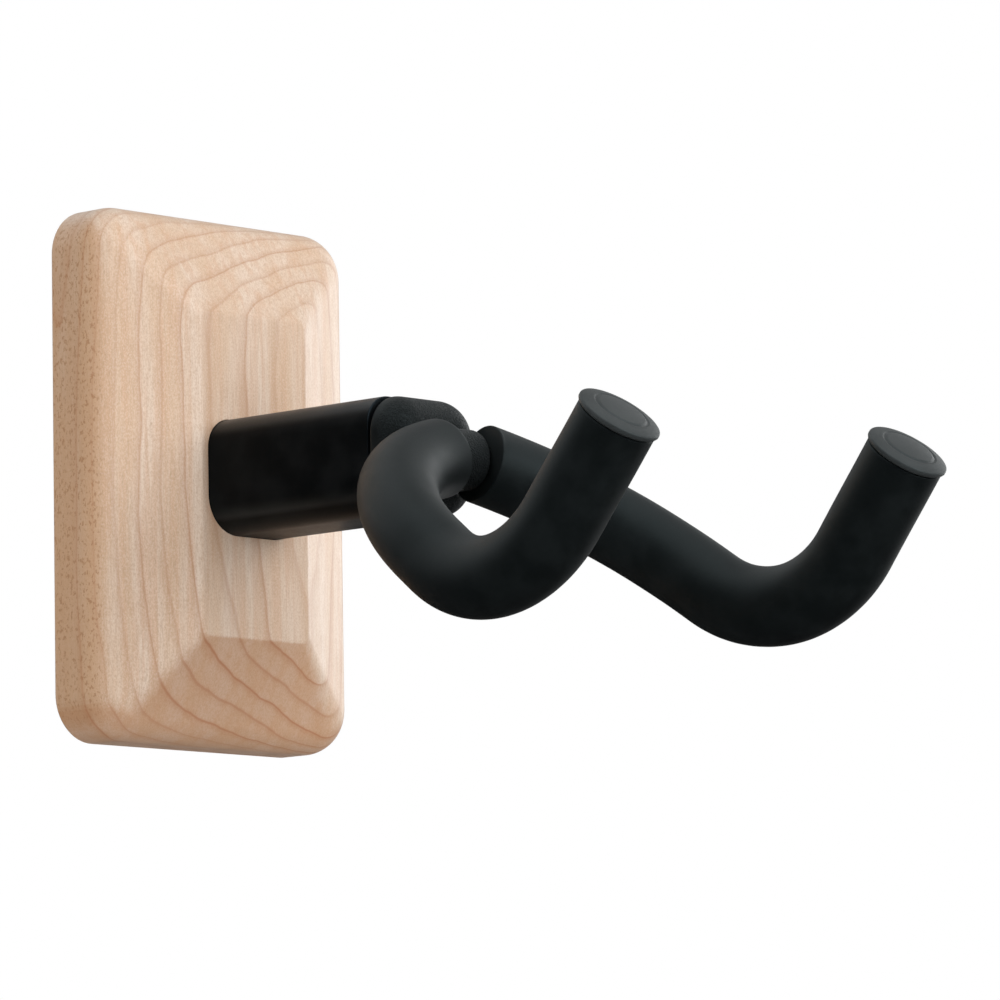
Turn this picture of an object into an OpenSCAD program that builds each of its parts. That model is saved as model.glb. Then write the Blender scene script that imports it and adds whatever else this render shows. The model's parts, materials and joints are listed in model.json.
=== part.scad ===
// Wall guitar hanger: a bevelled maple block, a hollow arm and a swivelling, foam-sleeved fork.
// Origin at the centre of the block's back face. The arm points along -Y and +Z is up.

/* [Block] */
// Width of the wooden block
block_w = 83; // [80:1:110]
// Height of the wooden block
block_h = 125; // [120:1:160]
// Thickness of the block at its flat panel
block_t = 25; // [22:1:32]
// Distance from the outline to the flat panel
bevel_margin = 24.5; // [20:0.5:26]
// Height of the straight side wall
side_h = 8.8; // [6:0.2:11]
// Radius of the round-over between side wall and bevel
edge_r = 8.1; // [5:0.1:9]
// Radius of the outline's corners
corner_r = 11; // [9.5:0.5:16]
// Chamfer along the back edge
back_chamfer = 1; // [0.5:0.1:2]
// Corner radius of the flat panel
panel_corner_r = 2; // [1:0.5:4]

/* [Keyhole plates] */
// Distance of each plate's centre from the block's end
plate_inset = 24.5; // [21.5:0.5:27.5]
// Length of a plate
plate_l = 36; // [35:1:38]
// Width of a plate
plate_w = 18; // [16:1:24]
// Thickness of a plate
plate_t = 1.6; // [1.4:0.1:2.5]
// Diameter of the hole that a wall screw's head enters
keyhole_d = 10; // [9:0.5:11]
// Width of the slot that the wall screw slides into
slot_w = 5; // [4.5:0.5:6]
// Height of the slot's upper end above the keyhole's centre
slot_rise = 9; // [8:0.5:10]
// Drop of the keyhole's centre below the plate's centre
keyhole_drop = 4; // [3:0.5:5]
// Depth of the pocket behind a plate
pocket_depth = 7; // [5:0.5:9]
// Room round the wall screw's head in the pocket
pocket_margin = 1; // [0.5:0.5:1.5]
// Distance between the two screws of a plate
plate_screw_spacing = 29; // [28:0.5:30]
// Shank diameter of a plate screw
plate_screw_d = 3; // [2.5:0.5:3.5]
// Head diameter of a plate screw
plate_screw_head_d = 5.6; // [5:0.1:6]
// Length of a plate screw
plate_screw_l = 12; // [9:1:14]

/* [Arm] */
// Width of the arm
arm_w = 30; // [28:1:33]
// Height of the arm
arm_h = 27; // [26:1:32]
// Drop of the arm's centre below the block's centre
arm_drop = 0.7; // [0:0.1:3]
// Length of the arm in front of the block
arm_reach = 52; // [44:1:90]
// Wall thickness of the arm
arm_wall = 3; // [2:0.5:3.5]
// Thickness of the arm's end wall
arm_end_wall = 5; // [4:0.5:7]
// Radius of the arm's two upper edges
arm_top_r = 7; // [4:0.5:9]
// Radius of the arm's two lower edges
arm_bottom_r = 9; // [5:0.5:11]
// Depth of the arm's seat in the block
arm_seat = 3; // [2:0.5:5]

/* [Arm screws] */
// Thread diameter of the arm screws
arm_screw_d = 5; // [4:0.5:6]
// Length of the arm screws under the head
arm_screw_l = 30; // [28:1:32]
// Distance between the two arm screws
arm_screw_spacing = 15; // [14.5:0.5:16]
// Head diameter of the arm screws
arm_screw_head_d = 9.5; // [8.5:0.5:10]
// Head height of the arm screws
arm_screw_head_h = 4.6; // [3:0.2:5]
// Socket size across the flats
arm_screw_socket = 4; // [3:0.5:5]
// Depth of the socket in the arm screws' heads
arm_screw_socket_depth = 2.4; // [1.6:0.2:2.6]
// Diameter of the washers under the arm screws
arm_washer_d = 12; // [11:0.5:12.5]
// Thickness of the washers under the arm screws
arm_washer_t = 1; // [0.8:0.1:1.6]
// Depth of the counterbores in the back of the block
counterbore_depth = 7; // [6.5:0.5:9]
// Outer diameter of the threaded inserts
insert_d = 7; // [6.5:0.5:8]
// Length of the threaded inserts
insert_l = 10; // [8:1:14]
// Diameter of the screw bosses inside the arm
boss_d = 12; // [10:0.5:13]
// Length of the screw bosses inside the arm
boss_l = 16; // [15:1:22]

/* [Pivot] */
// Diameter of the pivot bolt
pivot_d = 8; // [6:1:9]
// Length of the pivot bolt under its head
pivot_l = 18; // [16:0.5:18.5]
// Width across the flats of the pivot bolt's head
pivot_head_af = 13; // [12:1:15]
// Height of the pivot bolt's head
pivot_head_h = 5.3; // [4:0.1:7]
// Outer diameter of the bush in the arm's end wall
bush_d = 11; // [10.5:0.5:12]
// Diameter of the bush's flange
bush_flange_d = 16; // [14:0.5:17]
// Thickness of the bush's flange
bush_flange_t = 1.2; // [1:0.1:2]
// Diameter of the flat washer
washer_d = 16; // [14:0.5:17]
// Thickness of the flat washer
washer_t = 1.6; // [1:0.1:2]
// Outer diameter of the disc spring
spring_d = 15; // [13:0.5:16]
// Thickness of the disc spring's steel
spring_t = 0.8; // [0.5:0.1:1]
// Cone height of the disc spring
spring_rise = 0.6; // [0.3:0.1:0.9]
// Diameter of the thrust washer between arm and head
thrust_d = 16.6; // [15:0.2:17]
// Thickness of the thrust washer
thrust_t = 1.2; // [1:0.1:2]
// Largest swing of the fork to either side, in degrees
swing = 45; // [20:5:60]
// Diameter of the head's stop lug
stop_d = 3.2; // [2.6:0.2:3.6]
// Distance of the stop lug from the pivot's axis
stop_offset = 10.6; // [10.4:0.1:10.9]
// Depth of the stop lug in the arm's end wall
stop_depth = 2; // [1.5:0.1:2.5]

/* [Swivel head] */
// Gap between the arm and the head
head_gap = 0.4; // [0.3:0.1:0.8]
// Depth of the head's rounded body
head_l = 7.6; // [7.6:0.2:9]
// Radius of the head's edges along the arm
head_corner_r = 9; // [8.5:0.5:11]
// Radius of the head's front edges
head_edge_r = 7; // [4:0.5:7]
// Chamfer along the head's rear edge
head_chamfer = 0.5; // [0.3:0.1:0.6]
// Radius of the nose that holds the rod
nose_r = 7; // [6.5:0.5:8]

/* [Fork rod] */
// Diameter of the steel rod
rod_d = 8; // [6:0.5:9]
// Distance of the rod's middle in front of the arm
rod_out = 14; // [13.5:0.5:15]
// Drop of the rod's middle below the pivot's axis
rod_drop = 1.8; // [0:0.1:3]
// Half length of the rod's straight middle, to its first corner
middle_half = 5; // [4.5:0.1:5.2]
// Sideways place of the shoulder corner
shoulder_x = 39.6; // [38.6:0.2:41]
// Distance of the shoulder corner in front of the arm
shoulder_out = 21; // [20:0.5:23]
// Drop of the shoulder corner below the pivot's axis
shoulder_drop = 10.4; // [9:0.2:12]
// Sideways place of the elbow corner
elbow_x = 48.4; // [47:0.2:54]
// Distance of the elbow corner in front of the arm
elbow_out = 73.6; // [71:0.2:76]
// Drop of the elbow corner below the pivot's axis
elbow_drop = 47.4; // [43:0.2:52]
// Sideways place of the tip
tip_x = 47.4; // [43:0.2:54]
// Distance of the tip in front of the arm
tip_out = 107; // [101:1:125]
// Drop of the tip below the pivot's axis
tip_drop = 6.6; // [1:0.2:12]
// Bend radius beside the head
inner_bend_r = 9; // [8:0.5:10]
// Bend radius at the shoulder
shoulder_bend_r = 51; // [44:1:52]
// Bend radius at the elbow
elbow_bend_r = 29.5; // [22:0.5:31]
// Diameter of the spring pin that locks the rod
lock_pin_d = 2.5; // [2:0.5:3]

/* [Sleeves and caps] */
// Outer diameter of the foam sleeves
sleeve_d = 18.4; // [16:0.2:20]
// Distance along the rod from its first corner to a sleeve's end
sleeve_start = 1.9; // [1.7:0.1:2.4]
// Outer diameter of the end caps
cap_d = 19.4; // [18.6:0.2:22]
// Thickness of a cap's rim
cap_rim_t = 1.6; // [1:0.1:2.4]
// Rise of a cap's domed face
cap_dome = 1.2; // [0.6:0.1:2]
// Outer diameter of a cap's socket
cap_socket_d = 12; // [11.5:0.5:13]
// Depth of a cap's socket on the rod
cap_socket_l = 9; // [6:1:14]

/* [Fits] */
// Radial clearance of running parts
running_fit = 0.05; // [0.02:0.01:0.1]
// Radial clearance of parts that are pushed together
push_fit = 0.03; // [0.02:0.01:0.08]
// Radial clearance of screws in their clearance holes
screw_fit = 0.3; // [0.2:0.05:0.4]
// Clearance between seated parts
seat_fit = 0.15; // [0.1:0.05:0.2]
// Clearance round the sleeves in the head's saddles
saddle_fit = 0.4; // [0.3:0.05:0.6]

/* [Hidden] */
$fn = 96;
blend_fn = 56;

maple = "burlywood";
black = "#1c1d1e";
foam = "#2c2e2f";
steel = "silver";
brass = "goldenrod";
nylon = "ivory";

slice = 0.1;      // thickness of a face that a hull ends on
over = 1;         // how far a cut runs past the face that it opens
lap = 0.3;        // how far a straight length of rod or sleeve is let into a bend
lap_step = 0.02;  // how much thinner the straight length is than the bend
stop_clear = 0.2; // room round the stop lug in its slot

panel_w = block_w - 2 * bevel_margin;
panel_h = block_h - 2 * bevel_margin;
seat_floor = block_t - arm_seat;
arm_end = block_t + arm_reach;
cavity_end = arm_end - arm_end_wall;
arm_screw_start = counterbore_depth - arm_washer_t;
keyhole_spacing = block_h - 2 * plate_inset;
bolt_seat = cavity_end - bush_flange_t - washer_t - spring_t - spring_rise;
bolt_tip = bolt_seat + pivot_l;

// Corner points of the rod's centre line in the pivot's frame: sideways, up, outward
middle_p = [0, -rod_drop, rod_out];
inner_p = [middle_half, -rod_drop, rod_out];
shoulder_p = [shoulder_x, -shoulder_drop, shoulder_out];
elbow_p = [elbow_x, -elbow_drop, elbow_out];
tip_p = [tip_x, -tip_drop, tip_out];

function across(flats) = flats / cos(30);
function unit(v) = v / norm(v);
function turn(a, b, c) = acos(unit(b - a) * unit(c - b));
function setback(a, b, c, r) = r * tan(turn(a, b, c) / 2);
function along(a, b, s) = a + unit(b - a) * s;
function angles(u, v, w) = [atan2(v.z, w.z), -asin(u.z), atan2(u.y, u.x)];

inner_set = setback(middle_p, inner_p, shoulder_p, inner_bend_r);
shoulder_set = setback(inner_p, shoulder_p, elbow_p, shoulder_bend_r);
elbow_set = setback(shoulder_p, elbow_p, tip_p, elbow_bend_r);
nose_half = middle_half - inner_set;

// Turns a piece drawn with +Z outward and +Y up into the hanger's frame
module on_wall() {
    rotate([90, 0, 0]) children();
}

module at_arm() {
    on_wall() translate([0, -arm_drop, 0]) children();
}

module at_pivot() {
    on_wall() translate([0, -arm_drop, arm_end]) children();
}

module aim(p, q) {
    d = unit(q - p);
    translate(p) rotate([0, acos(d.z), atan2(d.y, d.x)]) children();
}

module ring(ro, ri) {
    difference() {
        circle(r = ro);
        if (ri > 0) circle(r = ri);
    }
}

// A straight length between two bends, let into them by lap at each joined end
module straight_tube(p, q, ro, ri, lap_p = lap, lap_q = lap) {
    from = along(p, q, -lap_p);
    to = along(q, p, -lap_q);
    aim(from, to) linear_extrude(norm(to - from))
        ring(ro - lap_step, ri > 0 ? ri + lap_step : 0);
}

module bent_tube(a, b, c, r, ro, ri) {
    d = unit(b - a);
    side = unit(cross(cross(d, unit(c - b)), d));
    start = b - d * setback(a, b, c, r);
    translate(start + side * r)
        rotate(angles(-side, d, cross(-side, d)))
            rotate_extrude(angle = turn(a, b, c)) translate([r, 0]) ring(ro, ri);
}

// One prong from beside the head to its tip, starting at a distance from the rod's first corner
module prong(ro, ri, start, lap_start) {
    straight_tube(along(inner_p, shoulder_p, start),
        along(shoulder_p, inner_p, shoulder_set), ro, ri, lap_p = lap_start);
    bent_tube(inner_p, shoulder_p, elbow_p, shoulder_bend_r, ro, ri);
    straight_tube(along(shoulder_p, elbow_p, shoulder_set),
        along(elbow_p, shoulder_p, elbow_set), ro, ri);
    bent_tube(shoulder_p, elbow_p, tip_p, elbow_bend_r, ro, ri);
    straight_tube(along(elbow_p, tip_p, elbow_set), tip_p, ro, ri, lap_q = 0);
}

// A round puck whose upper edge is rounded by edge and whose lower edge has a chamfer
module puck(r, h, edge, chamfer) {
    rotate_extrude($fn = blend_fn) intersection() {
        square([r, h]);
        union() {
            translate([r - edge, h - edge]) circle(r = edge);
            square([r - edge, h]);
            translate([0, chamfer]) square([r, h - edge - chamfer]);
            polygon([[0, 0], [r - chamfer, 0], [r, chamfer], [0, chamfer]]);
        }
    }
}

module at_corners(w, h) {
    for (x = [-1, 1], y = [-1, 1]) translate([x * w / 2, y * h / 2, 0]) children();
}

module block_body() {
    hull() {
        at_corners(block_w - 2 * corner_r, block_h - 2 * corner_r)
            puck(corner_r, side_h + edge_r, edge_r, back_chamfer);
        translate([0, 0, block_t - slice])
            at_corners(panel_w - 2 * panel_corner_r, panel_h - 2 * panel_corner_r)
                cylinder(h = slice, r = panel_corner_r, $fn = blend_fn);
    }
}

// Outline of the arm: softly rounded, with wider radii below
module arm_outline(grow) {
    w = arm_w + 2 * grow;
    h = arm_h + 2 * grow;
    top_r = arm_top_r + grow;
    bottom_r = arm_bottom_r + grow;
    for (x = [-1, 1]) {
        translate([x * (w / 2 - top_r), h / 2 - top_r]) circle(r = top_r);
        translate([x * (w / 2 - bottom_r), bottom_r - h / 2]) circle(r = bottom_r);
    }
    translate([-w / 2, bottom_r - h / 2]) square([w, h - top_r - bottom_r]);
    translate([top_r - w / 2, 0]) square([w - 2 * top_r, h / 2]);
    translate([bottom_r - w / 2, -h / 2]) square([w - 2 * bottom_r, h / 2]);
}

module at_arm_screws() {
    for (y = [-1, 1]) translate([0, y * arm_screw_spacing / 2, 0]) children();
}

module at_plate(side) {
    on_wall() translate([0, side * keyhole_spacing / 2, 0]) children();
}

module at_plate_screws() {
    for (y = [-1, 1]) translate([0, y * plate_screw_spacing / 2, 0]) children();
}

// Round opening with a slot that rises from it
module keyhole(head_d, w) {
    translate([0, -keyhole_drop]) {
        circle(d = head_d);
        translate([-w / 2, 0]) square([w, slot_rise - w / 2]);
        translate([0, slot_rise - w / 2]) circle(d = w);
    }
}

// Countersunk screw, whose head runs on outward by above when it is a cut
module plate_screw(d, head_d, l, above) {
    sink = (head_d - d) / 2;
    translate([0, 0, -above]) cylinder(h = above + slice, d = head_d);
    cylinder(h = sink, d1 = head_d, d2 = d);
    cylinder(h = l, d = d);
}

module plate_recess() {
    translate([-plate_w / 2 - seat_fit, -plate_l / 2 - seat_fit, -over])
        cube([plate_w + 2 * seat_fit, plate_l + 2 * seat_fit, plate_t + over]);
    pocket_w = keyhole_d + 2 * pocket_margin;
    translate([0, -keyhole_drop, 0]) {
        cylinder(h = pocket_depth, d = pocket_w);
        translate([0, slot_rise - pocket_margin, 0]) cylinder(h = pocket_depth, d = pocket_w);
        translate([-pocket_w / 2, 0, 0]) cube([pocket_w, slot_rise - pocket_margin, pocket_depth]);
    }
    at_plate_screws() cylinder(h = plate_screw_l + push_fit, d = plate_screw_d + 2 * push_fit);
}

module mounting_block() {
    color(maple) difference() {
        on_wall() block_body();
        at_arm() translate([0, 0, seat_floor])
            linear_extrude(arm_seat + over) arm_outline(seat_fit);
        at_arm() at_arm_screws() {
            translate([0, 0, -over])
                cylinder(h = over + counterbore_depth, d = arm_washer_d + 2 * screw_fit);
            cylinder(h = block_t, d = arm_screw_d + 2 * screw_fit);
        }
        for (side = [-1, 1]) at_plate(side) plate_recess();
    }
}

module keyhole_plate(side) {
    color(steel) at_plate(side) difference() {
        linear_extrude(plate_t) difference() {
            square([plate_w, plate_l], center = true);
            keyhole(keyhole_d, slot_w);
        }
        at_plate_screws()
            plate_screw(plate_screw_d + 2 * push_fit, plate_screw_head_d + 2 * push_fit,
                plate_t + over, over);
    }
}

module keyhole_plate_upper() {
    keyhole_plate(1);
}

module keyhole_plate_lower() {
    keyhole_plate(-1);
}

module keyhole_plate_screws() {
    color(steel) for (side = [-1, 1]) at_plate(side) at_plate_screws()
        plate_screw(plate_screw_d, plate_screw_head_d, plate_screw_l, 0);
}

module arm_cavity() {
    translate([0, 0, seat_floor - over])
        linear_extrude(cavity_end - seat_floor + over) arm_outline(-arm_wall);
}

// Arc that the stop lug sweeps, widened by its own radius and a clearance
module stop_arc() {
    lug_r = stop_d / 2 + stop_clear;
    cut_h = stop_depth + stop_clear + over;
    for (a = [-1, 1]) rotate([0, 0, a * swing])
        translate([0, stop_offset, 0]) cylinder(h = cut_h, r = lug_r);
    rotate([0, 0, 90 - swing]) rotate_extrude(angle = 2 * swing)
        translate([stop_offset - lug_r, 0]) square([2 * lug_r, cut_h]);
}

module arm_housing() {
    color(black) at_arm() difference() {
        union() {
            difference() {
                translate([0, 0, seat_floor]) linear_extrude(arm_end - seat_floor) arm_outline(0);
                arm_cavity();
            }
            intersection() {
                translate([0, 0, seat_floor]) linear_extrude(boss_l) arm_outline(-arm_wall / 2);
                at_arm_screws() translate([0, 0, seat_floor]) cylinder(h = boss_l, d = boss_d);
            }
        }
        at_arm_screws() {
            translate([0, 0, seat_floor - over])
                cylinder(h = insert_l + over, d = insert_d + 2 * push_fit);
            translate([0, 0, seat_floor - over])
                cylinder(h = boss_l + 2 * over, d = arm_screw_d + 2 * screw_fit);
        }
        translate([0, 0, cavity_end - over])
            cylinder(h = arm_end_wall + 2 * over, d = bush_d + 2 * push_fit);
        translate([0, 0, arm_end - stop_depth - stop_clear]) stop_arc();
    }
}

module arm_screws() {
    color(steel) at_arm() at_arm_screws() difference() {
        union() {
            translate([0, 0, arm_screw_start - arm_screw_head_h])
                cylinder(h = arm_screw_head_h, d = arm_screw_head_d);
            translate([0, 0, arm_screw_start - slice]) cylinder(h = arm_screw_l + slice, d = arm_screw_d);
        }
        translate([0, 0, arm_screw_start - arm_screw_head_h - over])
            cylinder(h = arm_screw_socket_depth + over, d = across(arm_screw_socket), $fn = 6);
    }
}

module arm_screw_washers() {
    color(steel) at_arm() at_arm_screws() translate([0, 0, arm_screw_start])
        linear_extrude(arm_washer_t) ring(arm_washer_d / 2, arm_screw_d / 2 + screw_fit);
}

module arm_inserts() {
    color(brass) at_arm() at_arm_screws() translate([0, 0, seat_floor])
        linear_extrude(insert_l) ring(insert_d / 2, arm_screw_d / 2 + push_fit);
}

module pivot_bush() {
    color(nylon) at_arm() {
        translate([0, 0, cavity_end]) linear_extrude(arm_end_wall)
            ring(bush_d / 2, pivot_d / 2 + running_fit);
        translate([0, 0, cavity_end - bush_flange_t]) linear_extrude(bush_flange_t)
            ring(bush_flange_d / 2, pivot_d / 2 + running_fit);
    }
}

module pivot_bolt() {
    color(steel) at_arm() {
        translate([0, 0, bolt_seat - pivot_head_h])
            cylinder(h = pivot_head_h, d = across(pivot_head_af), $fn = 6);
        translate([0, 0, bolt_seat]) cylinder(h = pivot_l, d = pivot_d);
    }
}

module pivot_washer() {
    color(steel) at_arm() translate([0, 0, cavity_end - bush_flange_t - washer_t])
        linear_extrude(washer_t) ring(washer_d / 2, pivot_d / 2 + screw_fit);
}

module disc_spring() {
    inner_r = pivot_d / 2 + screw_fit;
    outer_r = spring_d / 2;
    color(steel) at_arm() translate([0, 0, bolt_seat]) rotate_extrude() polygon([
        [inner_r, 0], [inner_r, spring_t],
        [outer_r, spring_t + spring_rise], [outer_r, spring_rise]
    ]);
}

module thrust_washer() {
    color(nylon) at_arm() translate([0, 0, arm_end])
        linear_extrude(thrust_t) ring(thrust_d / 2, pivot_d / 2 + screw_fit);
}

module head_body() {
    hull() translate([0, 0, head_gap])
        at_corners(arm_w - 2 * head_corner_r, arm_h - 2 * head_corner_r)
            puck(head_corner_r, head_l, head_edge_r, head_chamfer);
}

module head_nose() {
    translate([-nose_half, -rod_drop, rod_out]) rotate([0, 90, 0])
        cylinder(h = 2 * nose_half, r = nose_r);
    translate([-nose_half, -rod_drop - nose_r, head_gap + head_l / 2])
        cube([2 * nose_half, 2 * nose_r, rod_out - head_gap - head_l / 2]);
}

module head_saddles() {
    for (side = [0, 1]) mirror([side, 0, 0])
        aim(along(inner_p, shoulder_p, sleeve_start - screw_fit), shoulder_p)
            cylinder(h = arm_w, r = sleeve_d / 2 + saddle_fit);
}

module swivel_head() {
    color(black) at_pivot() difference() {
        union() {
            difference() {
                head_body();
                head_saddles();
            }
            head_nose();
            translate([0, stop_offset, -stop_depth])
                cylinder(h = stop_depth + head_gap + over, d = stop_d);
        }
        translate([0, 0, head_gap - over])
            cylinder(h = thrust_t - head_gap + over, d = thrust_d + 2 * seat_fit);
        translate([0, 0, head_gap - over])
            cylinder(h = bolt_tip - arm_end - head_gap + over + seat_fit, d = pivot_d + 2 * push_fit);
        translate([-arm_w / 2, -rod_drop, rod_out]) rotate([0, 90, 0])
            cylinder(h = arm_w, d = rod_d + 2 * push_fit);
        translate([0, -rod_drop - nose_r - over, rod_out]) rotate([-90, 0, 0])
            cylinder(h = 2 * (nose_r + over), d = lock_pin_d + 2 * push_fit);
    }
}

module yoke_rod() {
    color(steel) at_pivot() difference() {
        union() {
            straight_tube([inner_set - middle_half, -rod_drop, rod_out],
                [middle_half - inner_set, -rod_drop, rod_out], rod_d / 2, 0);
            for (side = [0, 1]) mirror([side, 0, 0]) {
                bent_tube(middle_p, inner_p, shoulder_p, inner_bend_r, rod_d / 2, 0);
                prong(rod_d / 2, 0, inner_set, lap);
            }
        }
        translate([0, -rod_drop - rod_d, rod_out]) rotate([-90, 0, 0])
            cylinder(h = 2 * rod_d, d = lock_pin_d + 2 * push_fit);
    }
}

module rod_lock_pin() {
    color(steel) at_pivot() translate([0, -rod_drop - nose_r, rod_out]) rotate([-90, 0, 0])
        cylinder(h = 2 * nose_r, d = lock_pin_d);
}

// One foam sleeve, opened at its end for the cap's socket
module foam_sleeve() {
    bore_r = rod_d / 2 + seat_fit;
    difference() {
        prong(sleeve_d / 2, bore_r, sleeve_start, 0);
        aim(along(tip_p, elbow_p, cap_socket_l + seat_fit), tip_p)
            cylinder(h = cap_socket_l + over, d = cap_socket_d + 2 * seat_fit);
    }
}

module foam_sleeve_right() {
    color(foam) at_pivot() foam_sleeve();
}

module foam_sleeve_left() {
    color(foam) at_pivot() mirror([1, 0, 0]) foam_sleeve();
}

// Domed cap whose socket is pushed over the rod's end
module end_cap() {
    dome_r = (cap_d * cap_d / 4 + cap_dome * cap_dome) / (2 * cap_dome);
    aim(tip_p, along(tip_p, elbow_p, -cap_rim_t)) {
        cylinder(h = cap_rim_t, d = cap_d);
        intersection() {
            translate([0, 0, cap_rim_t + cap_dome - dome_r]) sphere(r = dome_r);
            cylinder(h = cap_rim_t + cap_dome, d = cap_d);
        }
        translate([0, 0, -cap_socket_l])
            linear_extrude(cap_socket_l) ring(cap_socket_d / 2, rod_d / 2 + push_fit);
    }
}

module end_cap_right() {
    color(black) at_pivot() end_cap();
}

module end_cap_left() {
    color(black) at_pivot() mirror([1, 0, 0]) end_cap();
}

mounting_block();
keyhole_plate_upper();
keyhole_plate_lower();
keyhole_plate_screws();
arm_housing();
arm_screws();
arm_screw_washers();
arm_inserts();
pivot_bush();
pivot_bolt();
pivot_washer();
disc_spring();
thrust_washer();
swivel_head();
yoke_rod();
rod_lock_pin();
foam_sleeve_left();
foam_sleeve_right();
end_cap_left();
end_cap_right();
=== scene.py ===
"""Wall guitar hanger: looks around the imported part.

The row's frame in metres: +X right, +Y into the wall, +Z up.
"""

import json
import math

import bmesh
import bpy
import numpy as np
from mathutils import Matrix, Vector


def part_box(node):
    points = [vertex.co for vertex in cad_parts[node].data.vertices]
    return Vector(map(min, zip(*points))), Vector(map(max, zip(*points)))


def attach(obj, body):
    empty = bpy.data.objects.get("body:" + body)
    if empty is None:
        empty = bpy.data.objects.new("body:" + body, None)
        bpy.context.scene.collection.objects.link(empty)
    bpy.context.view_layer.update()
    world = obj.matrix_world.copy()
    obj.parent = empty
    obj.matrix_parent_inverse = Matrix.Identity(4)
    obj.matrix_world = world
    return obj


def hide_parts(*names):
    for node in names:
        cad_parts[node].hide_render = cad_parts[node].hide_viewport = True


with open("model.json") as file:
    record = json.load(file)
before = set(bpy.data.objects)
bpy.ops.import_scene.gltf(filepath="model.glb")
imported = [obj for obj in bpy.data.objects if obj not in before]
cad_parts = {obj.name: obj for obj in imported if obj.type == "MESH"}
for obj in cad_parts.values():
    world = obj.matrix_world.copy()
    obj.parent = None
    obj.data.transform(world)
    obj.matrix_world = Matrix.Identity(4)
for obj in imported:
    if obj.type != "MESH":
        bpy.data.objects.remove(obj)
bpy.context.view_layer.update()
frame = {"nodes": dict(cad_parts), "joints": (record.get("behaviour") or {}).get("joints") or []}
nodes = frame["nodes"]
MM = 0.001

# ---------------------------------------------------------------- sizes, in millimetres
block_lo, block_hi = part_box("mounting_block")
BLOCK_W = (block_hi.x - block_lo.x) / MM
BLOCK_H = (block_hi.z - block_lo.z) / MM
BLOCK_T = (block_hi.y - block_lo.y) / MM
BEVEL_MARGIN = 24.5
SIDE_H = 8.8
EDGE_R = 8.1
CORNER_R = 11.0
BACK_R = 1.0
PANEL_R = 2.0
PANEL_EDGE_R = 2.5
SEAT_FIT = 0.15

# Keyhole plates, from the plate's middle, and the arm's screws
PLATE_INSET = 24.5
PLATE_HALF_W = 9.15
PLATE_HALF_H = 18.15
PLATE_DEPTH = 1.6
POCKET_R = 6.0
POCKET_LOW = -4.0
POCKET_HIGH = 4.0
POCKET_DEPTH = 7.0
PLATE_SCREW_OFF = 14.5
PLATE_SCREW_R = 1.53
PLATE_SCREW_DEPTH = 12.1
ARM_SCREW_OFF = 7.5
ARM_SCREW_R = 2.8
COUNTERBORE_R = 6.3
COUNTERBORE_DEPTH = 7.0
PAST = 2.0  # how far a cutting tool starts outside what it cuts

PIVOT = Vector(frame["joints"][0]["pos_m"]) / MM
ARM_W = 30.0
ARM_H = 27.0
ARM_SEAT = 3.0
ARM_TOP_R = 7.0
ARM_BOTTOM_R = 9.0

HEAD_GAP = 0.4
HEAD_L = 7.6
HEAD_CORNER_R = 9.0
HEAD_EDGE_R = 7.0
NOSE_R = 7.0
SADDLE_R = 9.6
SADDLE_FIT = 0.3
WASHER_R = 8.45
WASHER_DEPTH = 0.8
BOLT_R = 4.03
BOLT_DEPTH = 8.95
PIN_R = 1.28
HEAD_VOXEL = 0.28

ROD_D = 8.0
ROD_OUT = 14.0
ROD_DROP = 1.8
SLEEVE_D = 18.4
SLEEVE_START = 1.9
SLEEVE_FIT = 0.15
SLEEVE_SHRINK = 0.03  # keeps the visual skin just inside the CAD's
SLEEVE_WAVE = 0.035
ROD_FIT = 0.03
CAP_D = 19.4
CAP_RIM = 1.6
CAP_DOME = 1.2
SOCKET_D = 12.0
SOCKET_L = 9.0

# The rod's corner points in the pivot's frame: sideways, up, outward
ROUTE = [
    Vector((0, -ROD_DROP, ROD_OUT)),
    Vector((5, -ROD_DROP, ROD_OUT)),
    Vector((39.6, -10.4, 21)),
    Vector((48.4, -47.4, 73.6)),
    Vector((47.4, -6.6, 107)),
]
BENDS = [9.0, 51.0, 29.5]
AWAY = (ROUTE[2] - ROUTE[1]).normalized()
FIRST_TURN = AWAY.angle(ROUTE[1] - ROUTE[0])
FIRST_SET = BENDS[0] * math.tan(FIRST_TURN / 2)
NOSE_HALF = ROUTE[1].x - FIRST_SET


def to_row(p):
    """A point drawn sideways, up, outward from the pivot, in the row's millimetres."""
    return Vector((p[0] + PIVOT.x, PIVOT.y - p[2], p[1] + PIVOT.z))


# ---------------------------------------------------------------- mesh helpers
def new_object(name, verts, faces, smooth=True):
    mesh = bpy.data.meshes.new(name)
    mesh.from_pydata([tuple(Vector(v) * MM) for v in verts], [], faces)
    mesh.validate()
    if smooth:
        mesh.polygons.foreach_set("use_smooth", [True] * len(mesh.polygons))
    obj = bpy.data.objects.new(name, mesh)
    bpy.context.scene.collection.objects.link(obj)
    return obj


def fix_normals(obj):
    bm = bmesh.new()
    bm.from_mesh(obj.data)
    bmesh.ops.recalc_face_normals(bm, faces=bm.faces)
    bm.to_mesh(obj.data)
    bm.free()


def apply_modifiers(obj):
    graph = bpy.context.evaluated_depsgraph_get()
    mesh = bpy.data.meshes.new_from_object(obj.evaluated_get(graph))
    obj.modifiers.clear()
    old = obj.data
    obj.data = mesh
    bpy.data.meshes.remove(old)


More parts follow.
